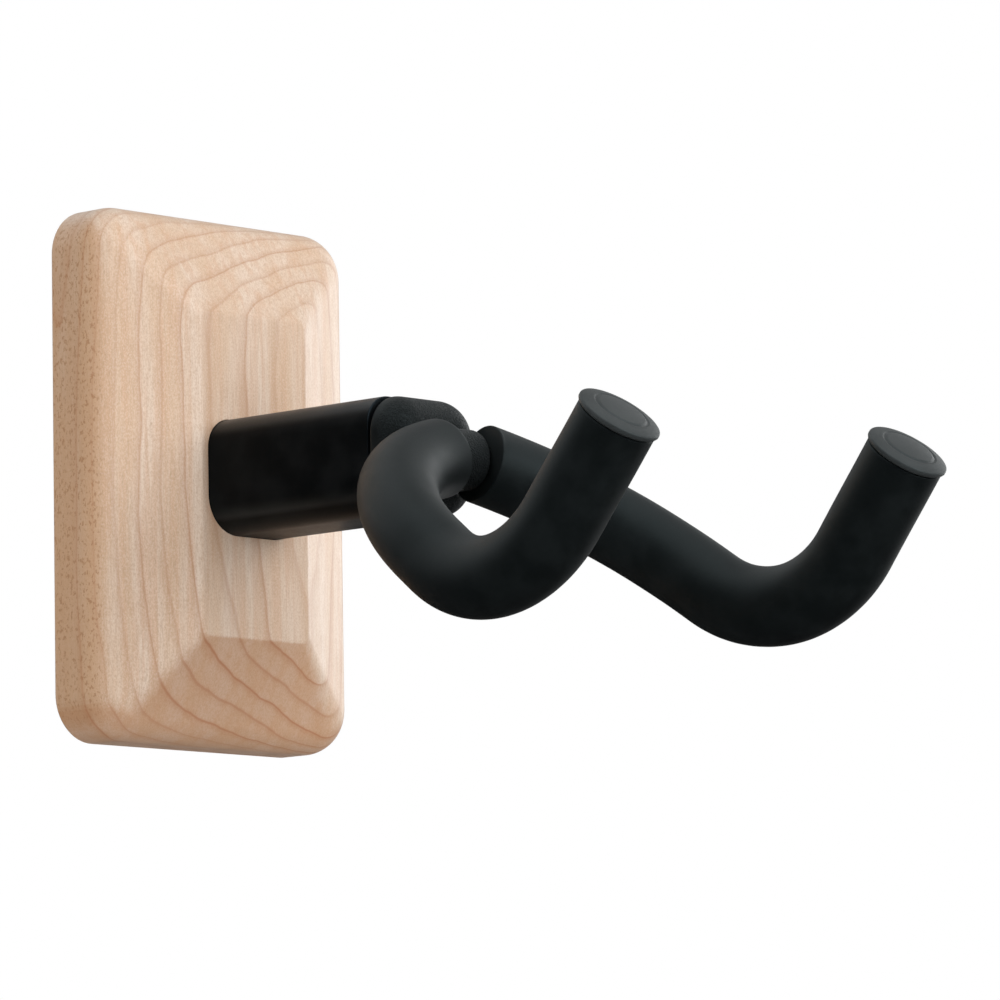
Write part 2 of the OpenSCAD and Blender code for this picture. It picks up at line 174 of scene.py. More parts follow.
def rings(name, loops, close_rows=False, cap_first=False, cap_last=False):
    """A mesh over rows of points, each row a closed loop of the same length."""
    n = len(loops[0])
    verts = [v for loop in loops for v in loop]
    faces = []
    last = len(loops) if close_rows else len(loops) - 1
    for i in range(last):
        a, b = i * n, ((i + 1) % len(loops)) * n
        for k in range(n):
            m = (k + 1) % n
            faces.append((a + k, a + m, b + m, b + k))
    if cap_first:
        faces.append(tuple(reversed(range(n))))
    if cap_last:
        start = (len(loops) - 1) * n
        faces.append(tuple(start + k for k in range(n)))
    obj = new_object(name, verts, faces)
    fix_normals(obj)
    return obj


def cut(obj, tool, operation="DIFFERENCE"):
    mod = obj.modifiers.new("cut", "BOOLEAN")
    mod.operation = operation
    mod.solver = "EXACT"
    mod.object = tool
    apply_modifiers(obj)
    bpy.data.objects.remove(tool)


def cylinder(name, start, end, radius, sides=96):
    """A cylinder between two points in the row's millimetres."""
    start, end = Vector(start), Vector(end)
    axis = (end - start).normalized()
    side = axis.orthogonal().normalized()
    up = axis.cross(side)
    loops = []
    for centre in (start, end):
        loops.append([
            centre + (side * math.cos(t) + up * math.sin(t)) * radius
            for t in np.linspace(0, 2 * math.pi, sides, endpoint=False)
        ])
    return rings(name, loops, cap_first=True, cap_last=True)


def prism(name, outline, y_start, y_end):
    """An outline of (x, z) points drawn out along Y."""
    loops = [[(x, y, z) for x, z in outline] for y in (y_start, y_end)]
    return rings(name, loops, cap_first=True, cap_last=True)


def weighted(obj, angle=35):
    obj.data.set_sharp_from_angle(angle=math.radians(angle))
    mod = obj.modifiers.new("normals", "WEIGHTED_NORMAL")
    mod.keep_sharp = True
    mod.weight = 80


# ---------------------------------------------------------------- wooden block
def corner_columns(count=16):
    """The four corners' signs and the outward directions round each, in order."""
    for quarter, (sx, sz) in enumerate(((1, 1), (-1, 1), (-1, -1), (1, -1))):
        for k in range(count + 1):
            t = math.radians(90 * quarter + 90 * k / count)
            yield sx, sz, Vector((math.cos(t), math.sin(t)))


def block_loops():
    """The block as loops from its back to its panel, with round-overs between the planes."""
    major = CORNER_R - EDGE_R
    bevel_slope = 65.9
    shrink = math.tan(math.radians(90 - bevel_slope) / 2) * PANEL_EDGE_R
    panel_major = PANEL_R - shrink
    outer = Vector((BLOCK_W / 2 - CORNER_R, BLOCK_H / 2 - CORNER_R))
    inner = Vector((
        BLOCK_W / 2 - BEVEL_MARGIN - PANEL_R,
        BLOCK_H / 2 - BEVEL_MARGIN - PANEL_R,
    ))
    columns = []
    for sx, sz, u in corner_columns():
        a = Vector((sx * outer.x, sz * outer.y))
        b = Vector((sx * inner.x, sz * inner.y))
        # the normal's rise at which the round-over hands over to the panel's edge
        flat = (a - b).dot(u) + major - panel_major
        rise = BLOCK_T - PANEL_EDGE_R - SIDE_H
        swing = math.asin((EDGE_R - PANEL_EDGE_R) / math.hypot(flat, rise))
        turn = math.atan2(flat, rise) + swing
        column = []
        for t in np.radians(np.linspace(-90, 0, 5)):
            r = CORNER_R - BACK_R + BACK_R * math.cos(t)
            column.append((a + u * r, BACK_R + BACK_R * math.sin(t)))
        for t in np.linspace(0, turn, 18):
            column.append((a + u * (major + EDGE_R * math.cos(t)), SIDE_H + EDGE_R * math.sin(t)))
        for t in np.linspace(turn, math.pi / 2, 7):
            r = panel_major + PANEL_EDGE_R * math.cos(t)
            column.append((b + u * r, BLOCK_T - PANEL_EDGE_R + PANEL_EDGE_R * math.sin(t)))
        columns.append([(p.x, -depth, p.y) for p, depth in column])
    return [list(loop) for loop in zip(*columns)]


def arm_outline(grow=0.0, count=14):
    """The arm's (x, z) outline, wide radii below."""
    w, h = ARM_W / 2 + grow, ARM_H / 2 + grow
    points = []
    for quarter, (sx, sz, r) in enumerate((
        (1, 1, ARM_TOP_R), (-1, 1, ARM_TOP_R), (-1, -1, ARM_BOTTOM_R), (1, -1, ARM_BOTTOM_R),
    )):
        r += grow
        for k in range(count + 1):
            t = math.radians(90 * quarter + 90 * k / count)
            points.append((
                sx * (w - r) + r * math.cos(t),
                PIVOT.z + sz * (h - r) + r * math.sin(t),
            ))
    return points


def make_block():
    block = rings("block", block_loops(), cap_first=True, cap_last=True)
    cut(block, prism("t", arm_outline(SEAT_FIT), -BLOCK_T + ARM_SEAT, -BLOCK_T - PAST))
    for off in (-ARM_SCREW_OFF, ARM_SCREW_OFF):
        z = PIVOT.z + off
        cut(block, cylinder("t", (0, PAST, z), (0, -COUNTERBORE_DEPTH, z), COUNTERBORE_R))
        cut(block, cylinder("t", (0, PAST, z), (0, -BLOCK_T, z), ARM_SCREW_R, 48))
    for side in (-1, 1):
        z = side * (BLOCK_H / 2 - PLATE_INSET)
        w, h = PLATE_HALF_W, PLATE_HALF_H
        recess = [(w, z - h), (w, z + h), (-w, z + h), (-w, z - h)]
        cut(block, prism("t", recess, PAST, -PLATE_DEPTH))
        pocket = []
        for t in np.radians(np.arange(3, 363, 6)):
            middle = POCKET_HIGH if math.sin(t) > 0 else POCKET_LOW
            pocket.append((POCKET_R * math.cos(t), z + middle + POCKET_R * math.sin(t)))
        cut(block, prism("t", pocket, PAST, -POCKET_DEPTH))
        for off in (-PLATE_SCREW_OFF, PLATE_SCREW_OFF):
            at = z + off
            cut(block, cylinder("t", (0, PAST, at), (0, -PLATE_SCREW_DEPTH, at), PLATE_SCREW_R, 32))
    weighted(block)
    return block


# ---------------------------------------------------------------- fork
def rod_path(step=0.8):
    """Points along the rod's centre from its middle to its tip, in the pivot's frame."""
    points = [ROUTE[0]]
    for k, radius in enumerate(BENDS):
        a, b, c = ROUTE[k], ROUTE[k + 1], ROUTE[k + 2]
        d1, d2 = (b - a).normalized(), (c - b).normalized()
        turn = d1.angle(d2)
        side = (d2 - d1 * d1.dot(d2)).normalized()
        start = b - d1 * radius * math.tan(turn / 2)
        count = max(6, round(radius * turn / step))
        for t in np.linspace(0, turn, count + 1):
            points.append(start + side * radius * (1 - math.cos(t)) + d1 * radius * math.sin(t))
    points.append(ROUTE[-1])
    fine = [points[0]]
    for a, b in zip(points, points[1:]):
        count = max(1, round((b - a).length / step))
        fine += [a.lerp(b, i / count) for i in range(1, count + 1)]
    return fine


def path_frames(points):
    """Arc length, tangent and a side vector carried along the path without twist."""
    lengths = np.concatenate([[0], np.cumsum([(b - a).length for a, b in zip(points, points[1:])])])
    tangents = []
    for i in range(len(points)):
        a, b = points[max(i - 1, 0)], points[min(i + 1, len(points) - 1)]
        tangents.append((b - a).normalized())
    side = Vector((0, 1, 0))
    sides = []
    for t in tangents:
        side = (side - t * side.dot(t)).normalized()
        sides.append(side)
    return lengths, tangents, sides


def make_sleeve(name, sign):
    """A foam tube over the rod, with a rounded start, a socket for the cap and a faint wave."""
    path = rod_path()
    lengths, tangents, sides = path_frames(path)
    total = lengths[-1]
    outer, bore, socket = SLEEVE_D / 2, ROD_D / 2 + SLEEVE_FIT, SOCKET_D / 2 + SLEEVE_FIT
    round_r = 0.3
    start = NOSE_HALF + BENDS[0] * FIRST_TURN + SLEEVE_START - FIRST_SET
    stations = [(start, bore + 0.5), (start, (bore + outer) / 2)] + [
        (start + round_r * (1 - math.cos(t)), outer - round_r + round_r * math.sin(t))
        for t in np.radians(np.linspace(0, 90, 7))
    ]
    stations += [(s, outer) for s in lengths if start + round_r + 0.3 < s < total - 0.5]
    stations += [(total - 0.3, outer), (total, outer - 0.3), (total, socket)]
    step_at = total - SOCKET_L - SLEEVE_FIT
    stations += [(step_at, socket), (step_at, bore)]
    stations += [(s, bore) for s in lengths[::-3] if start + 1 < s < total - SOCKET_L - 1]
    stations += [(start + 0.3, bore), (start, bore + 0.3)]
    sections = 72
    loops = []
    for s, r in stations:
        i = min(np.searchsorted(lengths, s, side="right") - 1, len(path) - 2)
        f = (s - lengths[i]) / (lengths[i + 1] - lengths[i])
        centre = path[i].lerp(path[i + 1], f)
        t = tangents[i].lerp(tangents[i + 1], f).normalized()
        u = sides[i].lerp(sides[i + 1], f)
        u = (u - t * u.dot(t)).normalized()
        v = t.cross(u)
        loop = []
        for k in range(sections):
            angle = 2 * math.pi * k / sections
            ripple = 0.0
            if r >= outer - 0.01:
                ripple = math.sin(0.21 * s + 2 * angle + sign) * math.sin(0.083 * s + angle)
            skin = r + SLEEVE_WAVE * ripple - SLEEVE_SHRINK
            p = centre + (u * math.cos(angle) + v * math.sin(angle)) * skin
            p = to_row(p)
            p.x *= sign
            loop.append(p)
        loops.append(loop)
    return rings(name, loops, close_rows=True)


def make_cap(name, sign):
    """A plug turned about the prong's end, with a domed face and one plain ring in it."""
    tip = ROUTE[-1]
    axis = (ROUTE[-1] - ROUTE[-2]).normalized()
    side = axis.orthogonal().normalized()
    up = axis.cross(side)
    r = CAP_D / 2
    dome_r = (r * r + CAP_DOME * CAP_DOME) / (2 * CAP_DOME)
    soft = 0.45

    def dome(at):
        return CAP_RIM + CAP_DOME - dome_r + math.sqrt(dome_r * dome_r - at * at)

    hole, plug = ROD_D / 2 + ROD_FIT, SOCKET_D / 2
    profile = [(hole, -1.0), (hole, -SOCKET_L), (plug - 0.4, -SOCKET_L)]
    profile += [(plug, 0.4 - SOCKET_L), (plug, 0.0), (r - 0.9, 0.0)]
    profile += [(r - 0.25, 0.35), (r, 0.75)]
    for t in np.radians(np.linspace(0, 80, 6)):
        profile.append((r - soft + soft * math.cos(t), dome(r) - soft + soft * math.sin(t) + 0.02))
    for at in (8.6, 7.9, 7.3, 6.9, 6.7):
        profile.append((at, dome(at)))
    profile += [(6.5, dome(6.5) - 0.16), (6.25, dome(6.25) - 0.2), (6.0, dome(6.0) - 0.16)]
    profile += [(at, dome(at)) for at in (5.8, 5.4, 4.5, 3.5, 2.5, 1.5, 0.6)]
    loops = []
    for at, h in profile:
        loop = []
        for k in range(96):
            t = 2 * math.pi * k / 96
            p = to_row(tip + axis * h + (side * math.cos(t) + up * math.sin(t)) * at)
            p.x *= sign
            loop.append(p)
        loops.append(loop)
    return rings(name, loops, cap_first=True, cap_last=True)


def head_loops():
    """The head's body as loops from its rear edge to its flat front."""
    w, h = ARM_W / 2 - HEAD_CORNER_R, ARM_H / 2 - HEAD_CORNER_R
    profile = [(HEAD_CORNER_R - 0.5, 0.0), (HEAD_CORNER_R, 0.5)]
    for t in np.radians(np.linspace(0, 90, 24)):
        profile.append((
            HEAD_CORNER_R - HEAD_EDGE_R + HEAD_EDGE_R * math.cos(t),
            HEAD_L - HEAD_EDGE_R + HEAD_EDGE_R * math.sin(t),
        ))
    loops = []
    for r, depth in profile:
        loop = []
        for sx, sz, u in corner_columns(20):
            loop.append((
                sx * w + u.x * r,
                PIVOT.y - HEAD_GAP - depth,
                PIVOT.z + sz * h + u.y * r,
            ))
        loops.append(loop)
    return loops


def make_head():
    """The head with its nose, saddles for the sleeves and bores, its edges melted together."""
    head = rings("head", head_loops(), cap_first=True, cap_last=True)
    half = NOSE_HALF
    y, z = PIVOT.y - ROD_OUT, PIVOT.z - ROD_DROP
    for side in (-1, 1):
        near = to_row(ROUTE[1] + AWAY * (SLEEVE_START - SADDLE_FIT))
        far = to_row(ROUTE[1] + AWAY * 30)
        near.x *= side
        far.x *= side
        cut(head, cylinder("t", near, far, SADDLE_R))
    back = PIVOT.y - HEAD_GAP - HEAD_L / 2
    box = [(-half, z - NOSE_R), (half, z - NOSE_R), (half, z + NOSE_R), (-half, z + NOSE_R)]
    cut(head, prism("t", box, back, y), "UNION")
    cut(head, cylinder("t", (-half, y, z), (half, y, z), NOSE_R), "UNION")
    cut(head, cylinder("t", (-20, y, z), (20, y, z), ROD_D / 2 + ROD_FIT))
    face = PIVOT.y - HEAD_GAP
    cut(head, cylinder("t", (0, face + 1, PIVOT.z), (0, face - WASHER_DEPTH, PIVOT.z), WASHER_R))
    cut(head, cylinder("t", (0, face + 1, PIVOT.z), (0, PIVOT.y - BOLT_DEPTH, PIVOT.z), BOLT_R))
    pin_top, pin_low = z + NOSE_R + 1, z - NOSE_R - 1
    cut(head, cylinder("t", (0, y, pin_low), (0, y, pin_top), PIN_R, 32))
    mod = head.modifiers.new("remesh", "REMESH")
    mod.mode = "VOXEL"
    mod.voxel_size = HEAD_VOXEL * MM
    smooth = head.modifiers.new("smooth", "SMOOTH")
    smooth.factor = 0.5
    smooth.iterations = 5
    apply_modifiers(head)
    head.data.polygons.foreach_set("use_smooth", [True] * len(head.data.polygons))
    return head


def soften(name, node, width=0.3):
    """A copy of a CAD node with its sharp edges slightly rounded."""
    obj = bpy.data.objects.new(name, nodes[node].data.copy())
    bpy.context.scene.collection.objects.link(obj)
    bm = bmesh.new()
    bm.from_mesh(obj.data)
    bmesh.ops.remove_doubles(bm, verts=bm.verts, dist=0.002 * MM)
    bmesh.ops.dissolve_limit(bm, angle_limit=math.radians(0.6), verts=bm.verts, edges=bm.edges)
    bm.to_mesh(obj.data)
    bm.free()
    mod = obj.modifiers.new("bevel", "BEVEL")
    mod.width = width * MM
    mod.segments = 3
    mod.limit_method = "ANGLE"
    mod.angle_limit = math.radians(50)
    apply_modifiers(obj)
    obj.data.polygons.foreach_set("use_smooth", [True] * len(obj.data.polygons))
    weighted(obj)
    return obj


# ---------------------------------------------------------------- materials
class Nodes:
    """Short names for building a node tree."""

    def __init__(self, name):
        self.mat = bpy.data.materials.new(name)
        self.mat.use_nodes = True
        self.tree = self.mat.node_tree
        self.shader = self.tree.nodes["Principled BSDF"]

    def add(self, kind, **inputs):
        node = self.tree.nodes.new(kind)
        for key, value in inputs.items():
            self.put(node, key, value)
        return node

    def put(self, node, key, value):
        if hasattr(node, key) and key not in node.inputs:
            setattr(node, key, value)
            return
        socket = node.inputs[key if key in node.inputs else key.replace("_", " ")]
        if isinstance(value, bpy.types.NodeSocket):
            self.tree.links.new(value, socket)
        else:
            socket.default_value = value

    def math(self, operation, a, b=0.0, c=0.0):
        node = self.tree.nodes.new("ShaderNodeMath")
        node.operation = operation
        for i, value in enumerate((a, b, c)):
            if isinstance(value, bpy.types.NodeSocket):
                self.tree.links.new(value, node.inputs[i])
            else:
                node.inputs[i].default_value = value
        return node.outputs[0]

    def scaled(self, vector, scale):
        node = self.tree.nodes.new("ShaderNodeVectorMath")
        node.operation = "MULTIPLY"
        self.tree.links.new(vector, node.inputs[0])
        node.inputs[1].default_value = scale
        return node.outputs[0]

    def noise(self, vector, scale=1.0, detail=2.0, rough=0.5):
        node = self.tree.nodes.new("ShaderNodeTexNoise")
        self.tree.links.new(vector, node.inputs["Vector"])
        node.inputs["Scale"].default_value = scale
        node.inputs["Detail"].default_value = detail
        node.inputs["Roughness"].default_value = rough
        return node.outputs["Fac"]

    def ramp(self, value, stops, smooth=True):
        node = self.tree.nodes.new("ShaderNodeValToRGB")
        if smooth:
            node.color_ramp.interpolation = "EASE"
        elements = node.color_ramp.elements
        while len(elements) < len(stops):
            elements.new(0.5)
        for element, (at, colour) in zip(elements, stops):
            element.position = at
            if not hasattr(colour, "__len__"):
                colour = (colour,) * 3
            element.color = (*colour, 1)
        self.tree.links.new(value, node.inputs["Fac"])
        return node.outputs["Color"]

    def mix(self, factor, a, b, blend="MIX"):
        node = self.tree.nodes.new("ShaderNodeMix")
        node.data_type = "RGBA"
        node.blend_type = blend
        for name, value in (("Factor", factor), ("A", a), ("B", b)):
            socket = [s for s in node.inputs if s.name == name and s.enabled][0]
            if isinstance(value, bpy.types.NodeSocket):
                self.tree.links.new(value, socket)
            elif name == "Factor":
                socket.default_value = value
            else:
                socket.default_value = (*value, 1)
        return [s for s in node.outputs if s.enabled][0]

    def bump(self, height, strength, distance, normal=None):
        node = self.tree.nodes.new("ShaderNodeBump")
        node.inputs["Strength"].default_value = strength
        node.inputs["Distance"].default_value = distance
        self.tree.links.new(height, node.inputs["Height"])
        if normal is not None:
            self.tree.links.new(normal, node.inputs["Normal"])
        return node.outputs["Normal"]

    def place(self):
        """The row's own millimetres as a vector."""
        coords = self.tree.nodes.new("ShaderNodeTexCoord")
        return self.scaled(coords.outputs["Object"], (1 / MM,) * 3)

    def split(self, vector):
        node = self.tree.nodes.new("ShaderNodeSeparateXYZ")
        self.tree.links.new(vector, node.inputs[0])
        return node.outputs

    def out(self, **inputs):
        for key, value in inputs.items():
            self.put(self.shader, key.replace("_", " "), value)
        return self.mat


# maple: base tones, then what is mixed over them
MAPLE_PALE = (0.80, 0.64, 0.515)
MAPLE_WARM = (0.72, 0.51, 0.352)
MAPLE_FIBRE = (0.58, 0.385, 0.25)
MAPLE_FLECK = (0.33, 0.155, 0.065)
MAPLE_SHINE = (0.80, 0.66, 0.55)
MAPLE_SIDE = (0.56, 0.33, 0.18)
# darker and more saturated: painted shade for the block's downward faces
MAPLE_UNDERSIDE_SHADE = (0.50, 0.235, 0.10)
MAPLE_LINE = (0.47, 0.19, 0.08)
MAPLE_SPOT = (0.40, 0.19, 0.08)
MAPLE_STREAK = (0.68, 0.415, 0.255)


def maple():
    """Maple cut from one solid: rings, streaks, fibre and pores all follow the place in the block."""
    n = Nodes("maple")
    place = n.place()
    # slow wander of the growth rings, long along the grain
    wander = n.noise(n.scaled(place, (0.045, 0.045, 0.02)), 1.0, 2.0)
    ripple = n.noise(n.scaled(place, (0.22, 0.22, 0.05)), 1.0, 2.0)
    x, y, z = n.split(place)
    u = n.math("DIVIDE", x, 40.0)
    v = n.math("DIVIDE", n.math("ADD", y, 25.0), 10.0)
    w = n.math("DIVIDE", z, 60.0)
    # the year in which the wood at a place grew: curved sheets, nearly straight along the grain
    terms = [
        (3.49, u), (-2.38, v), (0.50, w),
        (-1.30, n.math("MULTIPLY", u, v)),
        (-1.57, n.math("MULTIPLY", v, v)),
        (0.55, n.math("POWER", v, 3.0)),
        (-0.45, n.math("MULTIPLY", v, w)),
        (-0.80, n.math("MULTIPLY", w, w)),
        (0.9, n.math("SUBTRACT", wander, 0.5)),
        (0.16, n.math("SUBTRACT", ripple, 0.5)),
    ]
    age = 18.17  # sets where the first line falls
    for gain, term in terms:
        age = n.math("MULTIPLY_ADD", term, gain, age)
    season = n.math("FRACT", age)
    line = n.ramp(season, [(0.0, 0.7), (0.05, 0.12), (0.12, 0.0), (0.60, 0.0), (0.90, 0.30), (0.97, 1.0)])
    year = n.math("FLOOR", age)
    strength = n.tree.nodes.new("ShaderNodeTexWhiteNoise")
    strength.noise_dimensions = "1D"
    n.tree.links.new(year, strength.inputs["W"])
    line = n.math("MULTIPLY", line, n.math("MULTIPLY_ADD", strength.outputs["Value"], 0.34, 0.12))
    # broad colour drift and fine fibre
    drift = n.noise(n.scaled(place, (0.14, 0.14, 0.012)), 1.0, 3.0, 0.6)
    fibre = n.noise(n.scaled(place, (2.6, 2.6, 0.18)), 1.0, 3.0, 0.6)
    pores = n.noise(n.scaled(place, (3.4, 3.4, 0.7)), 1.0, 2.0, 0.6)
    grit = n.noise(n.scaled(place, (3.2, 3.2, 1.9)), 1.0, 2.0, 0.7)
    base = n.mix(n.ramp(drift, [(0.34, 0.0), (0.64, 1.0)]), MAPLE_WARM, MAPLE_PALE)
    streak = n.noise(n.scaled(place, (0.42, 0.42, 0.016)), 1.0, 3.0, 0.55)
    base = n.mix(n.ramp(streak, [(0.46, 0.0), (0.64, 0.55)]), base, MAPLE_STREAK)
    warm = n.ramp(season, [(0.0, 0.15), (0.10, 0.0), (0.70, 0.0), (0.97, 0.30)])
    base = n.mix(warm, base, MAPLE_FIBRE)
    base = n.mix(n.ramp(fibre, [(0.38, 0.0), (0.68, 0.45)]), base, MAPLE_FIBRE)
    base = n.mix(n.ramp(grit, [(0.48, 0.0), (0.64, 0.45)]), base, MAPLE_FIBRE)
    base = n.mix(n.ramp(grit, [(0.36, 0.40), (0.50, 0.0)]), base, MAPLE_SHINE)
    base = n.mix(n.ramp(pores, [(0.60, 0.0), (0.72, 0.25)]), base, MAPLE_FLECK)
    # the side cuts the rays edge on: more colour and short brown flecks
    geometry = n.tree.nodes.new("ShaderNodeNewGeometry")
    nx, _, nz = n.split(geometry.outputs["True Normal"])
    edge_cut = n.ramp(n.math("ABSOLUTE", nx), [(0.57, 0.0), (0.88, 1.0)])
    flecks = n.noise(n.scaled(place, (1.7, 1.7, 1.05)), 1.0, 2.0, 0.6)
    flecks = n.ramp(flecks, [(0.53, 0.0), (0.66, 0.70)])
    base = n.mix(n.math("MULTIPLY", edge_cut, 0.68), base, MAPLE_SIDE)
    base = n.mix(n.math("MULTIPLY", edge_cut, flecks), base, MAPLE_SPOT)
    # Faces that look down get a darker, more saturated colour and ring lines twice as strong: painted
    # shade on the block's underside, which the upper faces don't get
    underside_shade = n.ramp(n.math("MULTIPLY", nz, -1.0), [(0.15, 0.0), (0.45, 1.0)])
    base = n.mix(n.math("MULTIPLY", underside_shade, 0.55), base, MAPLE_UNDERSIDE_SHADE)
    line = n.math("MULTIPLY", line, n.math("MULTIPLY_ADD", underside_shade, 1.0, 1.0))
    colour = n.mix(line, base, MAPLE_LINE)
    rough = n.ramp(fibre, [(0.3, 0.36), (0.75, 0.48)])
    height = n.math("ADD", n.math("MULTIPLY", fibre, 0.6), n.math("MULTIPLY", pores, 0.4))
    normal = n.bump(height, 0.25, 0.00006)
    return n.out(
        Base_Color=colour, Roughness=rough, Normal=normal,
        IOR=1.5, Coat_Weight=0.35, Coat_Roughness=0.3,
    )


def black(
    name, colour, rough, grain=0.5, grain_height=0.00002,
    speckle=None, tint=(0.76, 0.96, 1.0), painted_side_shade=False,
):
    """Black moulded, cast or foamed surface with its own grain.

    speckle is the Y, in millimetres, past which the coarse cast skin starts.
    """
    n = Nodes(name)
    place = n.place()
    cloud = n.noise(n.scaled(place, (0.12,) * 3), 1.0, 3.0)
    fine = n.noise(n.scaled(place, (1 / grain,) * 3), 1.0, 3.0, 0.6)
    dust = n.noise(n.scaled(place, (1.7,) * 3), 1.0, 2.0, 0.6)
    lighter = tuple(c * 1.5 + 0.003 for c in colour)
    shade = n.mix(n.ramp(cloud, [(0.35, 0.0), (0.7, 0.7)]), colour, lighter)
    shade = n.mix(n.ramp(dust, [(0.66, 0.0), (0.8, 0.35)]), shade, tuple(c * 2.2 + 0.008 for c in colour))
    low, high = rough
    blend = n.math("MULTIPLY_ADD", fine, 0.5, n.math("MULTIPLY", cloud, 0.5))
    roughness = n.ramp(blend, [(0.3, low), (0.7, high)])
    normal = n.bump(fine, 0.6, grain_height)
    if speckle:
        cells = n.noise(n.scaled(place, (2.4,) * 3), 1.0, 2.0, 0.6)
        cells = n.ramp(cells, [(0.42, 0.0), (0.58, 1.0)])
        depth = n.math("SUBTRACT", speckle, n.split(place)[1])
        mask = n.ramp(n.math("DIVIDE", depth, 4.0), [(0.0, 0.0), (1.0, 1.0)])
        normal = n.bump(n.math("MULTIPLY", cells, mask), 1.0, 0.00026, normal)
    n.out(Base_Color=shade, Roughness=roughness, Normal=normal, IOR=1.45)
    # The specular tint colours the reflections blue, most on the arm: painted cool light in the
    # reflections
    n.shader.inputs["Specular Tint"].default_value = (*tint, 1)
    # Faces turned sideways or down have their reflection turned down: painted shade on the arm's flat
    # sides and underside
    if painted_side_shade:
        geometry = n.tree.nodes.new("ShaderNodeNewGeometry")
        nx, _, nz = n.split(geometry.outputs["Normal"])
        side_shade_mask = n.math("MAXIMUM", n.math("ABSOLUTE", nx), n.math("MULTIPLY", nz, -1.3))
        n.out(Specular_IOR_Level=n.ramp(side_shade_mask, [(0.78, 0.42), (0.96, 0.08)]))
    return n.mat


def metal(name, colour, rough):
    """Plain metal, slightly uneven in tone and polish."""
    n = Nodes(name)
    place = n.place()
    streak = n.noise(n.scaled(place, (3.0,) * 3), 1.0, 4.0, 0.65)
    cloud = n.noise(n.scaled(place, (0.4,) * 3), 1.0, 2.0)
    dark = tuple(c * 0.72 for c in colour)
    shade = n.mix(n.ramp(cloud, [(0.3, 0.0), (0.75, 0.8)]), colour, dark)
    roughness = n.ramp(streak, [(0.3, rough * 0.8), (0.75, min(1.0, rough * 1.5))])
    normal = n.bump(streak, 0.35, 0.00002)
    return n.out(Base_Color=shade, Metallic=1.0, Roughness=roughness, Normal=normal)


def nylon():
    """Off-white bearing plastic."""
    n = Nodes("nylon")
    place = n.place()
    cloud = n.noise(n.scaled(place, (0.5,) * 3), 1.0, 3.0)
    shade = n.mix(n.ramp(cloud, [(0.3, 0.0), (0.75, 1.0)]), (0.78, 0.77, 0.72), (0.68, 0.66, 0.60))
    fine = n.noise(n.scaled(place, (4.0,) * 3), 1.0, 3.0)
    return n.out(
        Base_Color=shade,
        Roughness=n.ramp(fine, [(0.3, 0.42), (0.7, 0.55)]),
        Normal=n.bump(fine, 0.4, 0.00001),
        IOR=1.53,
    )


def dress(obj, material):
    """One material over the whole piece."""
    if not obj.data.materials:
        obj.data.materials.append(material)
    for i in range(len(obj.data.materials)):
        obj.data.materials[i] = material


MAPLE = maple()
ARM_BLACK = black(
    "arm_black", (0.0025, 0.0029, 0.0031), (0.32, 0.42), grain=0.35, grain_height=0.00003,
    tint=(0.55, 0.80, 1.0), painted_side_shade=True,
)
HEAD_BLACK = black(
    "head_black", (0.004, 0.0043, 0.0045), (0.44, 0.56), grain=0.4, grain_height=0.00001,
    speckle=PIVOT.y - 2.0,
)
FOAM = black("foam", (0.0042, 0.0054, 0.0058), (0.48, 0.58), grain=0.22, grain_height=0.00002)
CAP_BLACK = black("cap_black", (0.031, 0.034, 0.0345), (0.42, 0.52), grain=0.3, grain_height=0.000012)
ROD_BLACK = black("rod_black", (0.008, 0.0085, 0.009), (0.30, 0.42), grain=0.3, grain_height=0.000012)
STEEL = metal("steel", (0.60, 0.60, 0.61), 0.28)
BRASS = metal("brass", (0.72, 0.53, 0.24), 0.26)
NYLON = nylon()

# ---------------------------------------------------------------- pieces
block = make_block()
dress(block, MAPLE)
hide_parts("mounting_block")
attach(block, "mount")

arm = soften("arm", "arm_housing")
dress(arm, ARM_BLACK)
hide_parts("arm_housing")
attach(arm, "mount")

head = make_head()
dress(head, HEAD_BLACK)
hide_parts("swivel_head")
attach(head, "yoke")

for side_name, sign in (("left", -1), ("right", 1)):
    sleeve = make_sleeve("sleeve_" + side_name, sign)
    dress(sleeve, FOAM)
    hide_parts("foam_sleeve_" + side_name)
    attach(sleeve, "yoke")
    cap = make_cap("cap_" + side_name, sign)
    dress(cap, CAP_BLACK)
    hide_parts("end_cap_" + side_name)
    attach(cap, "yoke")

for name, material in {
    "keyhole_plate_upper": STEEL, "keyhole_plate_lower": STEEL, "keyhole_plate_screws": STEEL,
    "arm_screws": STEEL, "arm_screw_washers": STEEL, "arm_inserts": BRASS,
    "pivot_bush": NYLON, "pivot_bolt": STEEL, "pivot_washer": STEEL, "disc_spring": STEEL,
    "thrust_washer": NYLON, "yoke_rod": ROD_BLACK, "rod_lock_pin": ROD_BLACK,
}.items():
    dress(nodes[name], material)

# ---------------------------------------------------------------- camera
AZIMUTH, ELEVATION, ROLL = (math.radians(a) for a in (46.43, -7.15, -0.94))
DISTANCE, SHIFT_X, SHIFT_Y = 1.65551, -0.07543, 0.00286
ahead = Vector((
    math.sin(AZIMUTH) * math.cos(ELEVATION),
    math.cos(AZIMUTH) * math.cos(ELEVATION),
    -math.sin(ELEVATION),
))
right = Vector((math.cos(AZIMUTH), -math.sin(AZIMUTH), 0))
up = right.cross(ahead)
right, up = (
    right * math.cos(ROLL) + up * math.sin(ROLL),
    up * math.cos(ROLL) - right * math.sin(ROLL),
)
camera_data = bpy.data.cameras.new("camera")
camera_data.sensor_width = 36
camera_data.lens = 252
camera_data.clip_end = 30
camera = bpy.data.objects.new("camera", camera_data)
bpy.context.scene.collection.objects.link(camera)
turn = Matrix((right, up, -ahead)).transposed().to_4x4()
